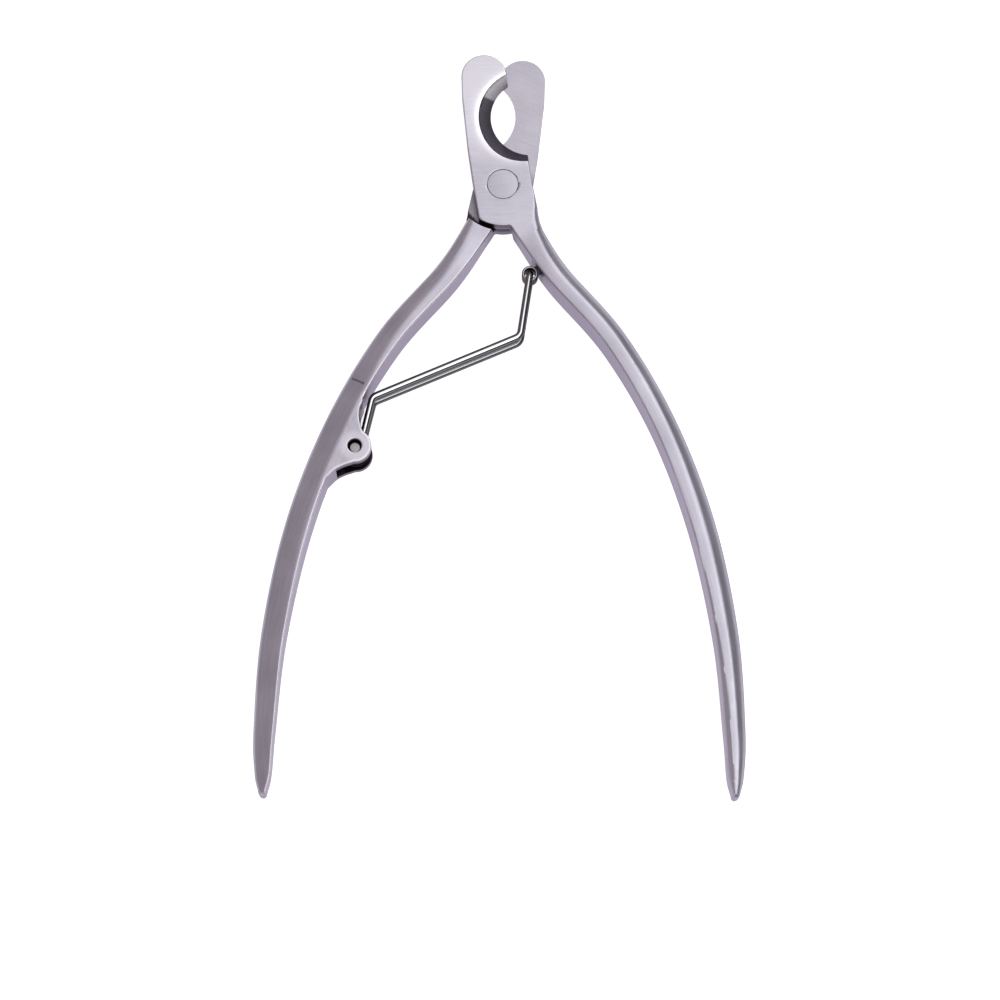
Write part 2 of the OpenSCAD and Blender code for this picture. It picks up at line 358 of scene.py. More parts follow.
# ---------------------------------------------------------------- meshes
def place(verts):
    """Millimetres about the pivot axis to metres in the frame."""
    v = np.array(verts, float)
    v[:, 1] += PIVOT_Y
    return v * 0.001


def add_object(name, verts, faces, body, attributes=()):
    mesh = bpy.data.meshes.new(name)
    mesh.from_pydata(place(verts).tolist(), [], [tuple(int(i) for i in f) for f in faces])
    for key, values in attributes:
        mesh.attributes.new(key, "FLOAT", "POINT").data.foreach_set("value", np.asarray(values, np.float32))
    obj = bpy.data.objects.new(name, mesh)
    bpy.context.scene.collection.objects.link(obj)
    for poly in mesh.polygons:
        poly.use_smooth = True
    if body:
        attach(obj, body)
    return obj


def triangulate(outline, creases, extra, holes):
    """Triangles over an outline; creases are open lines and holes closed ones that edges must follow."""
    points, edges = [outline], [(i, (i + 1) % len(outline)) for i in range(len(outline))]
    at = len(outline)
    for line, closed in [(c, False) for c in creases] + [(h, True) for h in holes]:
        n = len(line)
        edges += [(at + i, at + (i + 1) % n) for i in range(n if closed else n - 1)]
        points.append(line)
        at += n
    points.append(extra)
    all_points = np.vstack(points)
    out = delaunay_2d_cdt([Vector(p) for p in all_points], edges, [], 0, 1e-6)
    verts = np.array([tuple(v) for v in out[0]])
    tris = np.array(out[2], int)
    where = {}
    for new, olds in enumerate(out[3]):
        for old in olds:
            where[old] = new
    centre = verts[tris].mean(1)
    keep = inside(centre, outline)
    for h in holes:
        keep &= ~inside(centre, h)
    a, b, c = (verts[tris[:, k]] for k in range(3))
    area = (b[:, 0] - a[:, 0]) * (c[:, 1] - a[:, 1]) - (b[:, 1] - a[:, 1]) * (c[:, 0] - a[:, 0])
    tris[area < 0] = tris[area < 0][:, ::-1]
    keep &= np.abs(area) > 1e-9
    order = [[where[i] for i in range(len(outline))]]
    at = len(outline) + sum(len(line) for line in creases)
    for line in holes:
        order.append([where[at + i] for i in range(len(line))])
        at += len(line)
    return verts, tris[keep], order


def ring(centre, r, n):
    a = np.linspace(0, 2 * math.pi, n, endpoint=False)
    return np.stack([centre[0] + r * np.cos(a), centre[1] + r * np.sin(a)], 1)


def rivet_ring(more):
    """The edge of the rivet's hole: the riveting has closed its gap unevenly."""
    a = np.linspace(0, 2 * math.pi, 120, endpoint=False)
    r = RIVET_R + 0.05 + 0.022 * np.cos(2 * a - 2.4) + 0.014 * np.cos(5 * a + 1.0) + more
    return np.stack([r * np.cos(a), r * np.sin(a)], 1)


# values of bevel_share that edges of the mesh follow: up the wall, at its rim, and over the lip, where the
# rim's painted highlight fades
HOLLOW_SHARES = (0.25, 0.5, 0.75, 0.96, 1.0, 1.05, 1.12, 1.22, 1.35)
# distances from the outline at which rings of points follow it, and the spacing of the grid within
INSETS = (0.015, 0.055, 0.12, 0.22, 0.36, 0.54, 0.76, 1.02, 1.3, 1.6)
GRID = 0.42


def filling(outline, creases, holes):
    """Points inside the outline: rings that follow it, then an even grid, clear of creases and holes."""
    tangent = np.roll(outline, -1, 0) - np.roll(outline, 1, 0)
    inward = np.stack([-tangent[:, 1], tangent[:, 0]], 1) / np.hypot(*tangent.T)[:, None]
    sets = []
    for d in INSETS:
        p = outline + inward * d
        sets.append(p[distance_to(p, outline) > 0.97 * d])
    low, high = outline.min(0), outline.max(0)
    rows = np.arange(low[1], high[1], GRID * 0.866)
    grid = np.vstack([np.stack([np.arange(low[0], high[0], GRID) + (k % 2) * GRID / 2,
                                np.full(len(np.arange(low[0], high[0], GRID)), y)], 1)
                      for k, y in enumerate(rows)])
    grid = grid[inside(grid, outline)]
    sets.append(grid[distance_to(grid, outline) > INSETS[-1] + 0.25])
    p = np.vstack(sets)
    p = p[inside(p, outline)]
    for line in creases:
        p = p[np.min(np.hypot(p[:, None, 0] - line[:, 0], p[:, None, 1] - line[:, 1]), 1) > 0.1]
    for h in holes:
        p = p[~inside(p, h)]
        p = p[distance_to(p, h) > 0.1]
    return p


def clipped(line, outline, gap=0.03):
    """The part of a line inside the outline, as one run of points."""
    keep = inside(line, outline)
    keep &= distance_to(line, outline) > gap
    return line[keep]


def strip(a, b):
    """Faces between two equally long loops of vertex numbers; anticlockwise loops give outward faces."""
    n = len(a)
    return [(a[i], a[(i + 1) % n], b[(i + 1) % n], b[i]) for i in range(n)]


def lever(name, clevis):
    """One forging in its drawn place; the clevis is cut through and given its slot."""
    field = clevis_field if clevis else blank_field
    outline = contour(field, (-8, -94), (37, 22), 0.4, 0.27)
    hollow = [clipped(hollow_line(u), outline) for u in HOLLOW_SHARES]
    rivet_lines = [np.vstack([c, c[:1]]) for c in (rivet_ring(0.02), rivet_ring(0.05))]
    holes = [rivet_ring(0)]
    eyes = []
    if clevis:
        pin = mirrored([PIN_C])[0]
        holes.append(ring(pin, PIN_R, 48))
        eyes = [np.vstack([c, c[:1]]) for c in (ring(pin, PIN_R + d, 48) for d in (0.03, 0.08, 0.14))]
    recess = [clipped(ring((0, 0), RECESS_R + d, 360), outline, 0.02) for d in (0, 0.02, 0.05, 0.1, 0.16)]
    # the recess's arcs run in one piece across the handle, from its outer side to its inner side
    recess = [c[(c[:, 1] < -3) & (c[:, 0] > -1)] for c in recess]
    recess = [np.array(sorted(c.tolist(), key=lambda q: math.atan2(q[1], q[0]))) for c in recess]

    faces, verts, tone, along, across = [], [], [], [], []

    def add(p, z, values):
        start = len(verts)
        verts.extend(np.column_stack([p, z]).tolist())
        run, t, shade = values
        along.extend(run.tolist())
        across.extend(t.tolist())
        tone.extend(shade.tolist())
        return start

    def surface(side):
        up = side > 0
        creases = (hollow + rivet_lines if up else recess) + eyes
        extra = filling(outline, creases, holes)
        p, tris, order = triangulate(outline, creases, extra, holes)
        edge = distance_to(p, outline)
        edge[order[0]] = 0
        z, run, t, u = plate_side(p, edge, RIVET_R + 0.05)
        if up:
            # painted highlight along the hollow's rim, strongest towards the jaw, the plate painted lighter
            # towards the jaws, and tone 0 on the hollow's wall for its painted shade
            lit = 0.45 + 0.55 * smooth(p[:, 1], 7, 14)
            painted_highlight = 0.45 * lit * np.exp(-np.maximum(u - 1, 0) / 0.3) + 0.22 * smooth(p[:, 1], 1, 9)
            shade = np.where(u < 0.98, 0.0, 1.0 + painted_highlight)
        else:
            z = -lap_side(p, edge)
            shade = lap_tone(p)
            # painted highlight along the handle's inner edge
            shade = shade + 0.35 * np.exp(-((edge / 0.25) ** 2)) * smooth(run, 6, 9) * (t < 0) * (shade > 0.9)
        if clevis:
            z = clevis_lift(p, z, side * MID)
            # painted highlight round the pin's boss
            shade = shade + 0.2 * (1 - smooth(circle_field(p, mirrored([PIN_C])[0], BOSS_R), -0.8, 0.6))
            z = z - side * drop(edge, 0.16, 0.16) * (boss_field(p) < 0.3)
            pin_edge = np.hypot(*(p - mirrored([PIN_C])[0]).T) - PIN_R
            z = z - side * drop(pin_edge, 0.13, 0.13)
        start = add(p, z, (run, t, shade))
        faces.extend((tris[:, ::1 if up else -1] + start).tolist())
        return [[start + i for i in loop] for loop in order], z

    top, _ = surface(1)
    low, _ = surface(-1)

    def level(loop, target):
        """A copy of a loop of vertices at another height."""
        start = len(verts)
        for k, i in enumerate(loop):
            x, y, z = verts[i]
            verts.append([x, y, target[k]])
            along.append(along[i])
            across.append(across[i])
            tone.append(min(tone[i], 1.0))
        return list(range(start, start + len(loop)))

    def wall(upper, lower, outward=True):
        """A wall between two loops, with a support loop close to each of its edges."""
        zu, zl = (np.array([verts[i][2] for i in loop]) for loop in (upper, lower))
        lip = np.minimum(0.04, (zu - zl) * 0.2)
        middle = level(upper, zu - (zu - zl) / 2)
        chain = [upper, level(upper, zu - lip), middle, level(lower, zl + lip), lower]
        for a, b in zip(chain, chain[1:]):
            faces.extend(strip(b, a) if outward else strip(a, b))

    wall(top[1], low[1], outward=False)
    if not clevis:
        wall(top[0], low[0])
    else:
        cut_clevis(outline, top, low, verts, faces, level, wall, add)

    v = np.array(verts)
    if clevis:
        v = v * [-1, 1, -1]
    v[:, 2] += MID
    return add_object(name, v, faces, None, (("tone", tone), ("along", along), ("across", across)))


def cut_clevis(outline, top, low, verts, faces, level, wall, add):
    """Walls of the back lever, with the slot between the clevis's ears and the pin's bores."""
    slot = np.array(mirrored(SLOT))
    area = np.array(list(map(tuple, slot)) + [(15, -48), (15, -34.3)], float)
    cut = inside(outline, area)
    n = len(outline)
    starts = [i for i in range(n) if cut[i] and not cut[i - 1]]
    runs = []
    for s in starts:
        k = s
        while cut[k % n]:
            k += 1
        runs.append([i % n for i in range(s, k)])
    run = max(runs, key=len)
    # the slot is turned over with the lever, so its middle lies above the middle plane here
    high, deep = MID - SLOT_Z + SLOT_H / 2, MID - SLOT_Z - SLOT_H / 2
    dense = np.vstack([np.linspace(a, b, 12, endpoint=False) for a, b in zip(slot, slot[1:])] + [slot[-1:]])
    within = dense[inside(dense, outline) & (distance_to(dense, outline) > 0.12)]
    chain = outline[run]
    if np.hypot(*(within[0] - chain[-1])) > np.hypot(*(within[-1] - chain[-1])):
        within = within[::-1]
    region = np.vstack([chain, within])
    bore = ring(mirrored([PIN_C])[0], PIN_R, 48)
    p, tris, order = triangulate(region, [], np.zeros((0, 2)), [bore])
    # the slot's roof and floor take tone -1: painted shade, near black, that also reaches down the bores'
    # walls
    quiet = (np.zeros(len(p)), np.zeros(len(p)), np.full(len(p), -1.0))
    roof = add(p, np.full(len(p), high), quiet)
    faces.extend((tris[:, ::-1] + roof).tolist())
    floor = add(p, np.full(len(p), deep), quiet)
    faces.extend((tris + floor).tolist())
    m, k = len(run), len(region)
    roof_loop, floor_loop = [roof + i for i in order[0]], [floor + i for i in order[0]]
    for i in range(m - 1, k):
        j = (i + 1) % k
        faces.append((floor_loop[i], floor_loop[j], roof_loop[j], roof_loop[i]))
    roof_bore, floor_bore = [roof + i for i in order[1]], [floor + i for i in order[1]]
    wall(top[2], roof_bore, outward=False)
    wall(floor_bore, low[2], outward=False)

    # outer walls: in one piece round the lever, in two over the slot's mouth
    zt, zl = (np.array([verts[i][2] for i in loop]) for loop in (top[0], low[0]))
    lip = np.minimum(0.04, (zt - zl) * 0.2)
    t1, l1 = level(top[0], zt - lip), level(low[0], zl + lip)
    faces.extend(strip(t1, top[0]))
    faces.extend(strip(low[0], l1))
    place_in = {v: i for i, v in enumerate(run)}
    for i in range(n):
        j = (i + 1) % n
        if i in place_in and j in place_in:
            a, b = roof_loop[place_in[i]], roof_loop[place_in[j]]
            c, d = floor_loop[place_in[i]], floor_loop[place_in[j]]
            faces.append((a, b, t1[j], t1[i]))
            faces.append((l1[i], l1[j], d, c))
        else:
            faces.append((l1[i], l1[j], t1[j], t1[i]))
    # the mouth's two ends close against the outer wall
    for i, turn in ((run[0], 1), (run[-1], -1)):
        a, c = roof_loop[place_in[i]], floor_loop[place_in[i]]
        faces.append((l1[i], c, a, t1[i])[::turn])


def lathe(name, body, profile, centre, n=72):
    """A turned piece: radius and height pairs from the top's middle to the bottom's middle."""
    verts, faces = [], []
    for r, z in profile:
        for k in range(n):
            a = 2 * math.pi * k / n
            verts.append((centre[0] + r * math.cos(a), centre[1] + r * math.sin(a), z))
    for i in range(len(profile) - 1):
        for k in range(n):
            j = (k + 1) % n
            faces.append((i * n + k, (i + 1) * n + k, (i + 1) * n + j, i * n + j))
    faces.append(list(range(n)))
    last = (len(profile) - 1) * n
    faces.append([last + k for k in range(n - 1, -1, -1)])
    return add_object(name, verts, faces, body)


def rounded(points, radius, steps=5):
    """A profile with its inner corners rounded."""
    out = [points[0]]
    for a, b, c in zip(points, points[1:], points[2:]):
        a, b, c = (np.array(q, float) for q in (a, b, c))
        u, v = a - b, c - b
        lu, lv = np.hypot(*u), np.hypot(*v)
        l = min(radius, lu / 2, lv / 2)
        for k in range(steps + 1):
            t = k / steps
            out.append(tuple(b + l * (u / lu * (1 - t) ** 2 + v / lv * t**2)))
    out.append(points[-1])
    return out


def tube(name, body, path, r, sides=20):
    """A round wire along a path, with rounded ends."""
    p = np.array(path, float)
    keep = np.concatenate([[True], np.linalg.norm(np.diff(p, axis=0), axis=1) > 1e-4])
    p = p[keep]
    way = np.gradient(p, axis=0)
    way /= np.linalg.norm(way, axis=1)[:, None]
    caps = [math.radians(a) for a in (82, 62, 42, 22)]
    head = [(p[0] - way[0] * r * math.sin(a), r * math.cos(a), way[0]) for a in caps]
    tail = [(p[-1] + way[-1] * r * math.sin(a), r * math.cos(a), way[-1]) for a in reversed(caps)]
    rings = head + [(q, r, w) for q, w in zip(p, way)] + tail
    normal = np.cross(way[0], (0.3, 0.5, 0.8))
    verts, faces = [], []
    for q, rad, w in rings:
        normal = normal - w * normal.dot(w)
        normal /= np.linalg.norm(normal)
        other = np.cross(w, normal)
        for k in range(sides):
            a = 2 * math.pi * k / sides
            verts.append(q + rad * (math.cos(a) * normal + math.sin(a) * other))
    for i in range(len(rings) - 1):
        for k in range(sides):
            j = (k + 1) % sides
            faces.append((i * sides + k, i * sides + j, (i + 1) * sides + j, (i + 1) * sides + k))
    faces.append(list(range(sides - 1, -1, -1)))
    last = (len(rings) - 1) * sides
    faces.append([last + k for k in range(sides)])
    return add_object(name, verts, faces, body)


def bend3(a, b, c, r, steps=9):
    a, b, c = (np.array(q, float) for q in (a, b, c))
    u, v = (a - b) / np.linalg.norm(a - b), (c - b) / np.linalg.norm(c - b)
    half = math.acos(np.clip(u.dot(v), -1, 1)) / 2
    l = r / math.tan(half)
    middle = (u + v) / np.linalg.norm(u + v) * r / math.sin(half) + b
    start, end = b + u * l - middle, b + v * l - middle
    angle = math.pi - 2 * half
    return [middle + (start * math.sin(angle * (1 - t)) + end * math.sin(angle * t)) / math.sin(angle)
            for t in np.linspace(0, 1, steps)]


def spring_path():
    """The folded wire, from its upper tip in the eye round the hook to its lower tip."""
    hook_r = PIN_R + WIRE_R + 0.05
    to_neck = np.array(HOOK_NECK) - PIN_C
    first = math.atan2(to_neck[1], to_neck[0]) - math.acos(hook_r / np.hypot(*to_neck))
    last = first - math.radians(215)
    near = 1.1

    def strand(s):
        def at(p, z):
            return (p[0], p[1], z)
        tip, top = at(EYE_TIP, MID + s * 0.35), at(EYE_TIP, MID + s * 1.8)
        right, left = at(RIGHT_BEND, MID + s * 1.6), at(LEFT_BEND, SLOT_Z + s * 1.45)
        z = SLOT_Z + s * near
        neck = at(HOOK_NECK, z)
        hook = [(PIN_C[0] + hook_r * math.cos(a), PIN_C[1] + hook_r * math.sin(a), z)
                for a in np.linspace(first, last, 30)]
        return ([tip] + bend3(tip, top, right, 0.7) + bend3(top, right, left, 1.3)
                + [tuple((np.array(right) + left) / 2)]
                + bend3(right, left, neck, 1.2) + bend3(left, neck, hook[0], 1.2, 6) + hook)

    end = np.array([PIN_C[0] + hook_r * math.cos(last), PIN_C[1] + hook_r * math.sin(last)])
    way = np.array([math.sin(last), -math.cos(last)])
    fold = [(*(end + way * near * math.cos(a)), SLOT_Z + near * math.sin(a))
            for a in np.linspace(math.pi / 2, -math.pi / 2, 13)[1:-1]]
    return strand(1) + fold + strand(-1)[::-1]


def boolean(obj, other, operation):
    mod = obj.modifiers.new("cut", "BOOLEAN")
    mod.operation, mod.solver, mod.object = operation, "EXACT", other
    graph = bpy.context.evaluated_depsgraph_get()
    mesh = bpy.data.meshes.new_from_object(obj.evaluated_get(graph))
    obj.modifiers.clear()
    old = obj.data
    obj.data = mesh
    mesh.name = old.name
    bpy.data.meshes.remove(old)
    bpy.data.objects.remove(other)


def cylinder(centre, way, r, length, n=48, back=0.0):
    """A plain cylinder object, for cutting."""
    w = np.array(way, float)
    side = np.cross(w, (0, 0, 1.0))
    up = np.cross(side, w)
    verts, faces = [], []
    for k in (0, 1):
        for i in range(n):
            a = 2 * math.pi * i / n
            spoke = r * (math.cos(a) * side + math.sin(a) * up)
            verts.append(np.array(centre) + w * (length if k else -back) + spoke)
    for i in range(n):
        j = (i + 1) % n
        faces.append((i, j, n + j, n + i))
    faces.append(list(range(n - 1, -1, -1)))
    faces.append([n + i for i in range(n)])
    return add_object("cutter", verts, faces, None)


def sharpen(obj, degrees):
    bm = bmesh.new()
    bm.from_mesh(obj.data)
    bmesh.ops.remove_doubles(bm, verts=bm.verts, dist=2e-7)
    bmesh.ops.recalc_face_normals(bm, faces=bm.faces)
    bm.to_mesh(obj.data)
    bm.free()
    for poly in obj.data.polygons:
        poly.use_smooth = True
    obj.data.set_sharp_from_angle(angle=math.radians(degrees))


# ---------------------------------------------------------------- materials
def node_tree(name):
    mat = bpy.data.materials.new(name)
    mat.use_nodes = True
    tree = mat.node_tree
    return mat, tree, tree.nodes["Principled BSDF"]


def node(tree, kind, **settings):
    n = tree.nodes.new(kind)
    for key, value in settings.items():
        setattr(n, key, value)
    return n


def maths(tree, operation, a, b=None, c=None):
    n = node(tree, "ShaderNodeMath", operation=operation)
    for k, value in enumerate((a, b, c)):
        if value is None:
            continue
        if hasattr(value, "links"):
            tree.links.new(value, n.inputs[k])
        else:
            n.inputs[k].default_value = value
    return n.outputs[0]


def noise(tree, vector, scale, detail=3.0, rough=0.5):
    n = node(tree, "ShaderNodeTexNoise")
    n.inputs["Scale"].default_value = scale
    n.inputs["Detail"].default_value = detail
    n.inputs["Roughness"].default_value = rough
    tree.links.new(vector, n.inputs["Vector"])
    return n.outputs["Fac"]


def combine(tree, x, y, z):
    n = node(tree, "ShaderNodeCombineXYZ")
    for k, value in enumerate((x, y, z)):
        if hasattr(value, "links"):
            tree.links.new(value, n.inputs[k])
        else:
            n.inputs[k].default_value = value
    return n.outputs[0]


def mix(tree, share, a, b):
    n = node(tree, "ShaderNodeMix", data_type="RGBA")
    for socket, value in ((n.inputs[0], share), (n.inputs[6], a), (n.inputs[7], b)):
        if hasattr(value, "links"):
            tree.links.new(value, socket)
        else:
            socket.default_value = value
    return n.outputs[2]


def ranged(tree, value, low, high):
    """0 below low, 1 above high, and a smooth step between."""
    n = node(tree, "ShaderNodeMapRange", interpolation_type="SMOOTHSTEP")
    tree.links.new(value, n.inputs[0])
    n.inputs[1].default_value, n.inputs[2].default_value = low, high
    return n.outputs[0]


def attribute(tree, name):
    return node(tree, "ShaderNodeAttribute", attribute_name=name).outputs["Fac"]


# near black, for painted shade in the gaps and in the slot
PAINTED_SHADE_BLACK = (0.03, 0.022, 0.028, 1)


def steel(name, lines_turn, shade=1.0, scratch=None):
    """Satin forged steel: ground lines across the jaws, turned by lines_turn, and finer lines along the
    handles; shade scales its brightness, and scratch is a mark between two points about the pivot."""
    mat, tree, bsdf = node_tree(name)
    coords = node(tree, "ShaderNodeTexCoord").outputs["Object"]
    split = node(tree, "ShaderNodeSeparateXYZ")
    tree.links.new(coords, split.inputs[0])
    x, y, z = (maths(tree, "MULTIPLY", split.outputs[k], 1000.0) for k in range(3))
    c, s = math.cos(lines_turn), math.sin(lines_turn)
    u = maths(tree, "ADD", maths(tree, "MULTIPLY", x, c), maths(tree, "MULTIPLY", y, s))
    v = maths(tree, "SUBTRACT", maths(tree, "MULTIPLY", y, c), maths(tree, "MULTIPLY", x, s))
    along, across, tone = (attribute(tree, key) for key in ("along", "across", "tone"))
    on_plate = combine(tree, maths(tree, "MULTIPLY", u, 0.22), maths(tree, "MULTIPLY", v, 5.0), z)
    on_handle = combine(tree, maths(tree, "MULTIPLY", along, 0.16), maths(tree, "MULTIPLY", across, 4.2),
                        maths(tree, "MULTIPLY", z, 4.0))
    plate_lines = noise(tree, on_plate, 1.0, 4.0, 0.65)
    handle_lines = noise(tree, on_handle, 1.0, 4.0, 0.6)
    handle_share = ranged(tree, along, 6.0, 12.0)
    plate_share = maths(tree, "SUBTRACT", 1.0, handle_share)
    lines = maths(tree, "ADD", maths(tree, "MULTIPLY", plate_lines, plate_share),
                  maths(tree, "MULTIPLY", handle_lines, handle_share))
    cloud = noise(tree, combine(tree, x, y, z), 0.16, 3.0, 0.55)
    speck = noise(tree, combine(tree, x, y, z), 7.0, 2.0, 0.5)
    mottle = maths(tree, "ADD", maths(tree, "MULTIPLY", cloud, 0.38), maths(tree, "MULTIPLY", speck, 0.2))
    grey = maths(tree, "ADD", maths(tree, "MULTIPLY", lines, 0.42), mottle)
    dark, light = ((0.235, 0.228, 0.27), (0.68, 0.665, 0.735))
    base = mix(tree, grey, tuple(c * shade for c in dark) + (1,), tuple(c * shade for c in light) + (1,))
    # the sides are painted darker and more purple than the faces, as painted shade, and the lap plane gets
    # painted shade through its tone
    normal = node(tree, "ShaderNodeSeparateXYZ")
    tree.links.new(node(tree, "ShaderNodeNewGeometry").outputs["Normal"], normal.inputs[0])
    facing = maths(tree, "ABSOLUTE", normal.outputs[2])
    ground = ranged(tree, facing, 0.3, 0.8)
    from_pivot = maths(tree, "SQRT", maths(tree, "ADD", maths(tree, "POWER", x, 2.0),
                                           maths(tree, "POWER", maths(tree, "SUBTRACT", y, PIVOT_Y), 2.0)))
    # painted shade, near black, on the sides within the gap round the pivot
    clear_of_joint_shade = ranged(tree, from_pivot, 7.0, 9.5)
    side_colour = mix(tree, clear_of_joint_shade, (0.10, 0.075, 0.09, 1), mix(tree, 0.72, base, (0.20, 0.17, 0.225, 1)))
    # painted shade, near black, in the mouth of the slot
    neck_x, neck_y = (maths(tree, "SUBTRACT", value, at) for value, at in ((x, -20.5), (y, PIVOT_Y - 36.6)))
    from_neck = maths(tree, "SQRT", maths(tree, "ADD", maths(tree, "MULTIPLY", neck_x, neck_x),
                                          maths(tree, "MULTIPLY", neck_y, neck_y)))
    side_colour = mix(tree, ranged(tree, from_neck, 1.3, 2.4), PAINTED_SHADE_BLACK, side_colour)
    base = mix(tree, ground, side_colour, base)
    # tone below 1 darkens towards dark grey: the lap plane's painted shade
    painted_shade_tone = ranged(tree, tone, 0.76, 1.0)
    base = mix(tree, painted_shade_tone, (0.16, 0.145, 0.155, 1), base)
    # the hollow's ground wall: painted shade, charcoal, with a paler painted highlight towards the point of
    # the jaw
    wall = maths(tree, "LESS_THAN", tone, 0.75)
    pale = ranged(tree, y, PIVOT_Y + 13.7, PIVOT_Y + 14.2)
    charcoal = mix(tree, cloud, (0.09, 0.085, 0.10, 1), (0.17, 0.16, 0.185, 1))
    wall_colour = mix(tree, pale, charcoal, (0.6, 0.58, 0.6, 1))
    base = mix(tree, wall, base, wall_colour)
    # tone below -0.3 is painted shade, near black: the gap round the heel and the inside of the slot
    base = mix(tree, maths(tree, "LESS_THAN", tone, -0.3), base, PAINTED_SHADE_BLACK)
    # tone above 1 is painted highlight, mixed towards near white
    rim = ranged(tree, tone, 1.0, 1.6)
    base = mix(tree, maths(tree, "MULTIPLY", rim, 0.75), base, (0.97, 0.96, 0.98, 1))
    rough = maths(tree, "ADD", 0.27, maths(tree, "MULTIPLY", lines, 0.14))
    if scratch:
        (x0, y0), (x1, y1) = scratch
        length = math.hypot(x1 - x0, y1 - y0)
        ux, uy = (x1 - x0) / length, (y1 - y0) / length
        dx, dy = maths(tree, "SUBTRACT", x, x0), maths(tree, "SUBTRACT", y, y0 + PIVOT_Y)
        run = maths(tree, "ADD", maths(tree, "MULTIPLY", dx, ux), maths(tree, "MULTIPLY", dy, uy))
        off = maths(tree, "ABSOLUTE", maths(tree, "SUBTRACT", maths(tree, "MULTIPLY", dy, ux),
                                            maths(tree, "MULTIPLY", dx, uy)))
        width = maths(tree, "SUBTRACT", 1.3, maths(tree, "MULTIPLY", off, 6.0))
        ends = maths(tree, "MULTIPLY", maths(tree, "GREATER_THAN", run, 0.0),
                     maths(tree, "LESS_THAN", run, length))
        past_end = maths(tree, "SUBTRACT", run, length)
        dot = maths(tree, "SQRT", maths(tree, "ADD", maths(tree, "POWER", past_end, 2.0),
                                        maths(tree, "POWER", off, 2.0)))
        spot = maths(tree, "SUBTRACT", 1.6, maths(tree, "MULTIPLY", dot, 5.0))
        mark = node(tree, "ShaderNodeClamp")
        tree.links.new(maths(tree, "MAXIMUM", maths(tree, "MULTIPLY", width, ends), spot), mark.inputs[0])
        base = mix(tree, maths(tree, "MULTIPLY", mark.outputs[0], 0.7), base, (0.05, 0.045, 0.05, 1))
    tree.links.new(base, bsdf.inputs["Base Color"])
    tree.links.new(rough, bsdf.inputs["Roughness"])
    bsdf.inputs["Metallic"].default_value = 1.0
    bsdf.inputs["Specular Tint"].default_value = (0.78, 0.73, 0.85, 1)
    bump = node(tree, "ShaderNodeBump")
    bump.inputs["Strength"].default_value = 0.22
    bump.inputs["Distance"].default_value = 0.00003
    tree.links.new(lines, bump.inputs["Height"])
    tree.links.new(bump.outputs[0], bsdf.inputs["Normal"])
    return mat


def bright_steel(name, colour, rough, flanks, scale=3.0, wire=False):
    """Turned or drawn bright steel, with fine marks, and painted shade on its flanks, darkened by the factor
    flanks; wire adds the spring's painted highlight along its top, tilted towards -Y, painted shade on its
    lower strand, and painted shade, near black, where it hooks round the pin."""
    mat, tree, bsdf = node_tree(name)
    coords = node(tree, "ShaderNodeTexCoord").outputs["Object"]
    split = node(tree, "ShaderNodeSeparateXYZ")
    tree.links.new(coords, split.inputs[0])
    xyz = [maths(tree, "MULTIPLY", split.outputs[k], 1000.0) for k in range(3)]
    fine = noise(tree, combine(tree, *xyz), scale, 3.0, 0.6)
    dark = tuple(c * 0.82 for c in colour) + (1,)
    normal = node(tree, "ShaderNodeSeparateXYZ")
    tree.links.new(node(tree, "ShaderNodeNewGeometry").outputs["Normal"], normal.inputs[0])
    facing = maths(tree, "ABSOLUTE", normal.outputs[2])
    # the wire's painted highlight faces 15 degrees towards -Y
    if wire:
        facing = maths(tree, "SUBTRACT", maths(tree, "MULTIPLY", facing, 0.966),
                       maths(tree, "MULTIPLY", normal.outputs[1], 0.259))
    # faces turned up keep the colour; the flanks get painted shade
    lit_share = ranged(tree, facing, *((0.92, 0.995) if wire else (0.3, 0.75)))
    flank_shade = tuple(c * flanks for c in colour) + (1,)
    base = mix(tree, lit_share, flank_shade, mix(tree, fine, dark, colour + (1,)))
    if wire:
        # painted shade: darker on the lower strand, under the upper one, and near black where it hooks round
        # the pin
        upper = ranged(tree, xyz[2], 2.4, 3.4)
        base = mix(tree, upper, mix(tree, 0.7, base, (0.12, 0.12, 0.13, 1)), base)
        dx = maths(tree, "SUBTRACT", xyz[0], PIN_C[0])
        dy = maths(tree, "SUBTRACT", xyz[1], PIN_C[1] + PIVOT_Y)
        from_pin = maths(tree, "SQRT", maths(tree, "ADD", maths(tree, "MULTIPLY", dx, dx),
                                             maths(tree, "MULTIPLY", dy, dy)))
        base = mix(tree, ranged(tree, from_pin, 2.3, 3.0), (0.015, 0.013, 0.015, 1), base)
    tree.links.new(base, bsdf.inputs["Base Color"])
    roughness = maths(tree, "ADD", rough, maths(tree, "MULTIPLY", fine, rough * 0.5))
    tree.links.new(roughness, bsdf.inputs["Roughness"])
    bsdf.inputs["Metallic"].default_value = 1.0
    bsdf.inputs["Specular Tint"].default_value = (0.4, 0.39, 0.42, 1)
    bump = node(tree, "ShaderNodeBump")
    bump.inputs["Strength"].default_value = 0.1
    bump.inputs["Distance"].default_value = 0.00002
    tree.links.new(fine, bump.inputs["Height"])
    tree.links.new(bump.outputs[0], bsdf.inputs["Normal"])
    return mat


front_steel = steel("front_lever_steel", math.radians(4), 0.92)
back_steel = steel("back_lever_steel", math.radians(-20), 0.93, ((-21.8, -30.4), (-20.2, -31.3)))
rivet_steel = steel("rivet_steel", math.radians(12), 0.90)
pin_steel = bright_steel("pin_steel", (0.35, 0.345, 0.35), 0.25, 0.3)
wire_steel = bright_steel("wire_steel", (0.95, 0.95, 0.96), 0.12, 0.16, 5.0, True)


def finish_piece(obj, material, slot, *nodes):
    obj.data.materials.clear()
    obj.data.materials.append(material)
    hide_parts(*nodes)


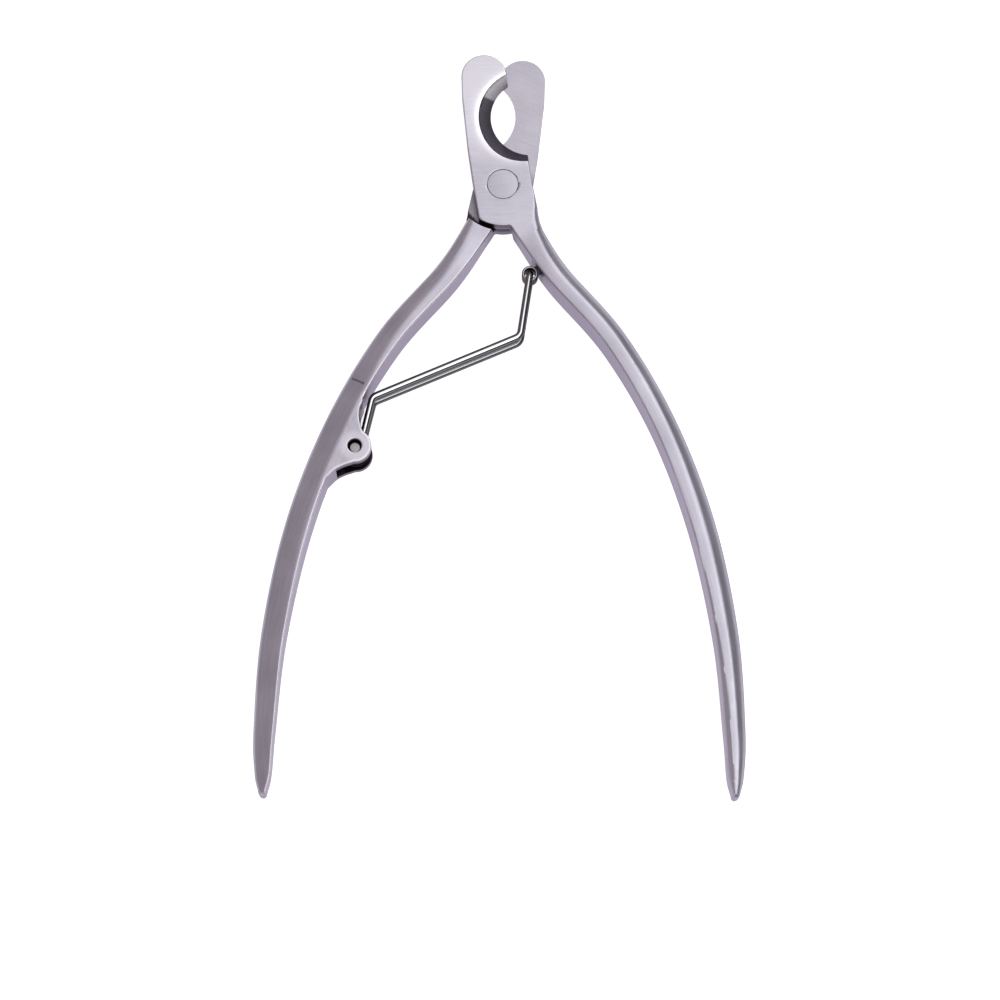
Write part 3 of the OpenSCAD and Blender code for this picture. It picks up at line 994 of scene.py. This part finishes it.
# ---------------------------------------------------------------- the pieces
front = lever("front_lever_forging", False)
seat_way = (math.cos(EYE_ANGLE), math.sin(EYE_ANGLE), 0)
seat = cylinder((*EYE_C, MID), seat_way, 1.35, 1.75, back=0.2)
boolean(front, seat, "DIFFERENCE")
sharpen(front, 34)
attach(front, "front_lever_body")
finish_piece(front, front_steel, "lever_steel", "front_lever")

back = lever("back_lever_forging", True)
sharpen(back, 34)
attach(back, "back_lever_body")
finish_piece(back, back_steel, "lever_steel", "back_lever")

FACE, BACK = MID + PLATE_T, MID - PLATE_T
rivet_profile = rounded([(1e-3, FACE), (RIVET_R, FACE), (RIVET_R, FACE - 0.8), (1.9, FACE - 1.2),
                         (1.9, BACK + 1.2), (RIVET_R, BACK + 0.8), (RIVET_R, BACK), (1e-3, BACK)], 0.06)
rivet = lathe("pivot_rivet_head", "back_lever_body", rivet_profile, (0, 0), 96)
sharpen(rivet, 60)
for key, value in (("tone", 1.0), ("along", 0.0), ("across", 0.0)):
    layer = rivet.data.attributes.new(key, "FLOAT", "POINT")
    layer.data.foreach_set("value", np.full(len(rivet.data.vertices), value, np.float32))
finish_piece(rivet, rivet_steel, "rivet_steel", "pivot_rivet")

top_z = HANDLE_T - PIN_SUNK
pin_profile = rounded([(1e-3, top_z), (0.72, top_z), (0.985, top_z - 0.28),
                       (0.985, 0.58), (0.72, 0.3), (1e-3, 0.3)], 0.05)
pin = lathe("spring_pin_turned", "back_lever_body", pin_profile, PIN_C, 48)
sharpen(pin, 60)
finish_piece(pin, pin_steel, "pin_steel", "spring_pin")

half_h = EYE_H / 2
ring_profile = [(EYE_HOLE_R, half_h - 0.14), (EYE_HOLE_R + 0.05, half_h - 0.04), (EYE_HOLE_R + 0.14, half_h),
                (EYE_R - 0.16, half_h), (EYE_R - 0.05, half_h - 0.05), (EYE_R, half_h - 0.16)]
ring_profile = ring_profile + [(r, -z) for r, z in reversed(ring_profile)]


def eye_ring():
    n, verts, faces = 64, [], []
    for r, z in ring_profile:
        for k in range(n):
            a = 2 * math.pi * k / n
            verts.append((EYE_C[0] + r * math.cos(a), EYE_C[1] + r * math.sin(a), MID + z))
    m = len(ring_profile)
    for i in range(m):
        for k in range(n):
            j, h = (k + 1) % n, (i + 1) % m
            faces.append((i * n + k, i * n + j, h * n + j, h * n + k))
    return add_object("spring_eye_ring", verts, faces, None)


eye = eye_ring()
sharpen(eye, 60)
start = (EYE_C[0] + 1.0 * seat_way[0], EYE_C[1] + 1.0 * seat_way[1], MID)
shank = cylinder(start, seat_way, 0.7, 2.3, 40)
sharpen(shank, 60)
boolean(eye, shank, "UNION")
sharpen(eye, 50)
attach(eye, "front_lever_body")
finish_piece(eye, pin_steel, "pin_steel", "spring_eye")

wire = tube("spring_wire_folded", None, spring_path(), WIRE_R, 24)
sharpen(wire, 70)
finish_piece(wire, wire_steel, "spring_wire", "spring_hook_arm", "spring_eye_arm")
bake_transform(wire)

# ---------------------------------------------------------------- floor, light and camera
floor_mesh = bpy.data.meshes.new("floor")
FLOOR_HALF = 1.5
floor_mesh.from_pydata([(x * FLOOR_HALF, y * FLOOR_HALF, 0) for x, y in ((-1, -1), (1, -1), (1, 1), (-1, 1))],
                       [], [(0, 1, 2, 3)])
floor = bpy.data.objects.new("floor", floor_mesh)
bpy.context.scene.collection.objects.link(floor)
floor.location.z = -0.00002
floor_mat, floor_tree, floor_bsdf = node_tree("floor_paper")
floor_bsdf.inputs["Base Color"].default_value = (0.5, 0.5, 0.5, 1)
floor_bsdf.inputs["Roughness"].default_value = 0.9
floor_bsdf.inputs["Emission Color"].default_value = (1, 1, 1, 1)
floor_bsdf.inputs["Emission Strength"].default_value = 0.86
floor_mesh.materials.append(floor_mat)


def softbox(name, place_at, target, size, strength):
    light = bpy.data.lights.new(name, "AREA")
    light.shape, light.size, light.size_y = "RECTANGLE", size[0], size[1]
    light.energy = strength
    obj = bpy.data.objects.new(name, light)
    bpy.context.scene.collection.objects.link(obj)
    obj.location = place_at
    obj.rotation_euler = (Vector(target) - Vector(place_at)).to_track_quat("-Z", "Y").to_euler()


softbox("overhead_softbox", (0.10, 0.12, 0.55), (0.10, 0.12, 0.0), (0.44, 1.2), 1.45)
softbox("right_softbox", (0.20, 0.12, 0.54), (0.20, 0.12, 0.0), (0.26, 1.2), 1.0)

# the room: a dim mauve grey, darker on the right
world = bpy.data.worlds.new("studio")
bpy.context.scene.world = world
world.use_nodes = True
room = world.node_tree
sky = room.nodes["Background"]
way_split = node(room, "ShaderNodeSeparateXYZ")
room.links.new(node(room, "ShaderNodeTexCoord").outputs["Generated"], way_split.inputs[0])
to_right = ranged(room, way_split.outputs[0], -0.6, 0.6)
room.links.new(mix(room, to_right, (0.52, 0.465, 0.50, 1), (0.32, 0.30, 0.33, 1)), sky.inputs["Color"])
sky.inputs["Strength"].default_value = 1.0

camera_data = bpy.data.cameras.new("camera")
camera_data.lens = 110.9
camera_data.sensor_width = 36.0
camera_data.clip_start = 0.01
camera = bpy.data.objects.new("camera", camera_data)
bpy.context.scene.collection.objects.link(camera)
aim = Vector((-0.00012, -0.01162, 0.0))
elevation, roll = math.radians(75), math.radians(0.35)
CAMERA_DISTANCE = 0.45
camera.location = aim + CAMERA_DISTANCE * Vector((0, -math.cos(elevation), math.sin(elevation)))
camera.rotation_euler = (Matrix.Rotation(math.pi / 2 - elevation, 3, "X")
                         @ Matrix.Rotation(roll, 3, "Z")).to_euler()
bpy.context.scene.camera = camera
bpy.context.scene.view_settings.view_transform = "Standard"
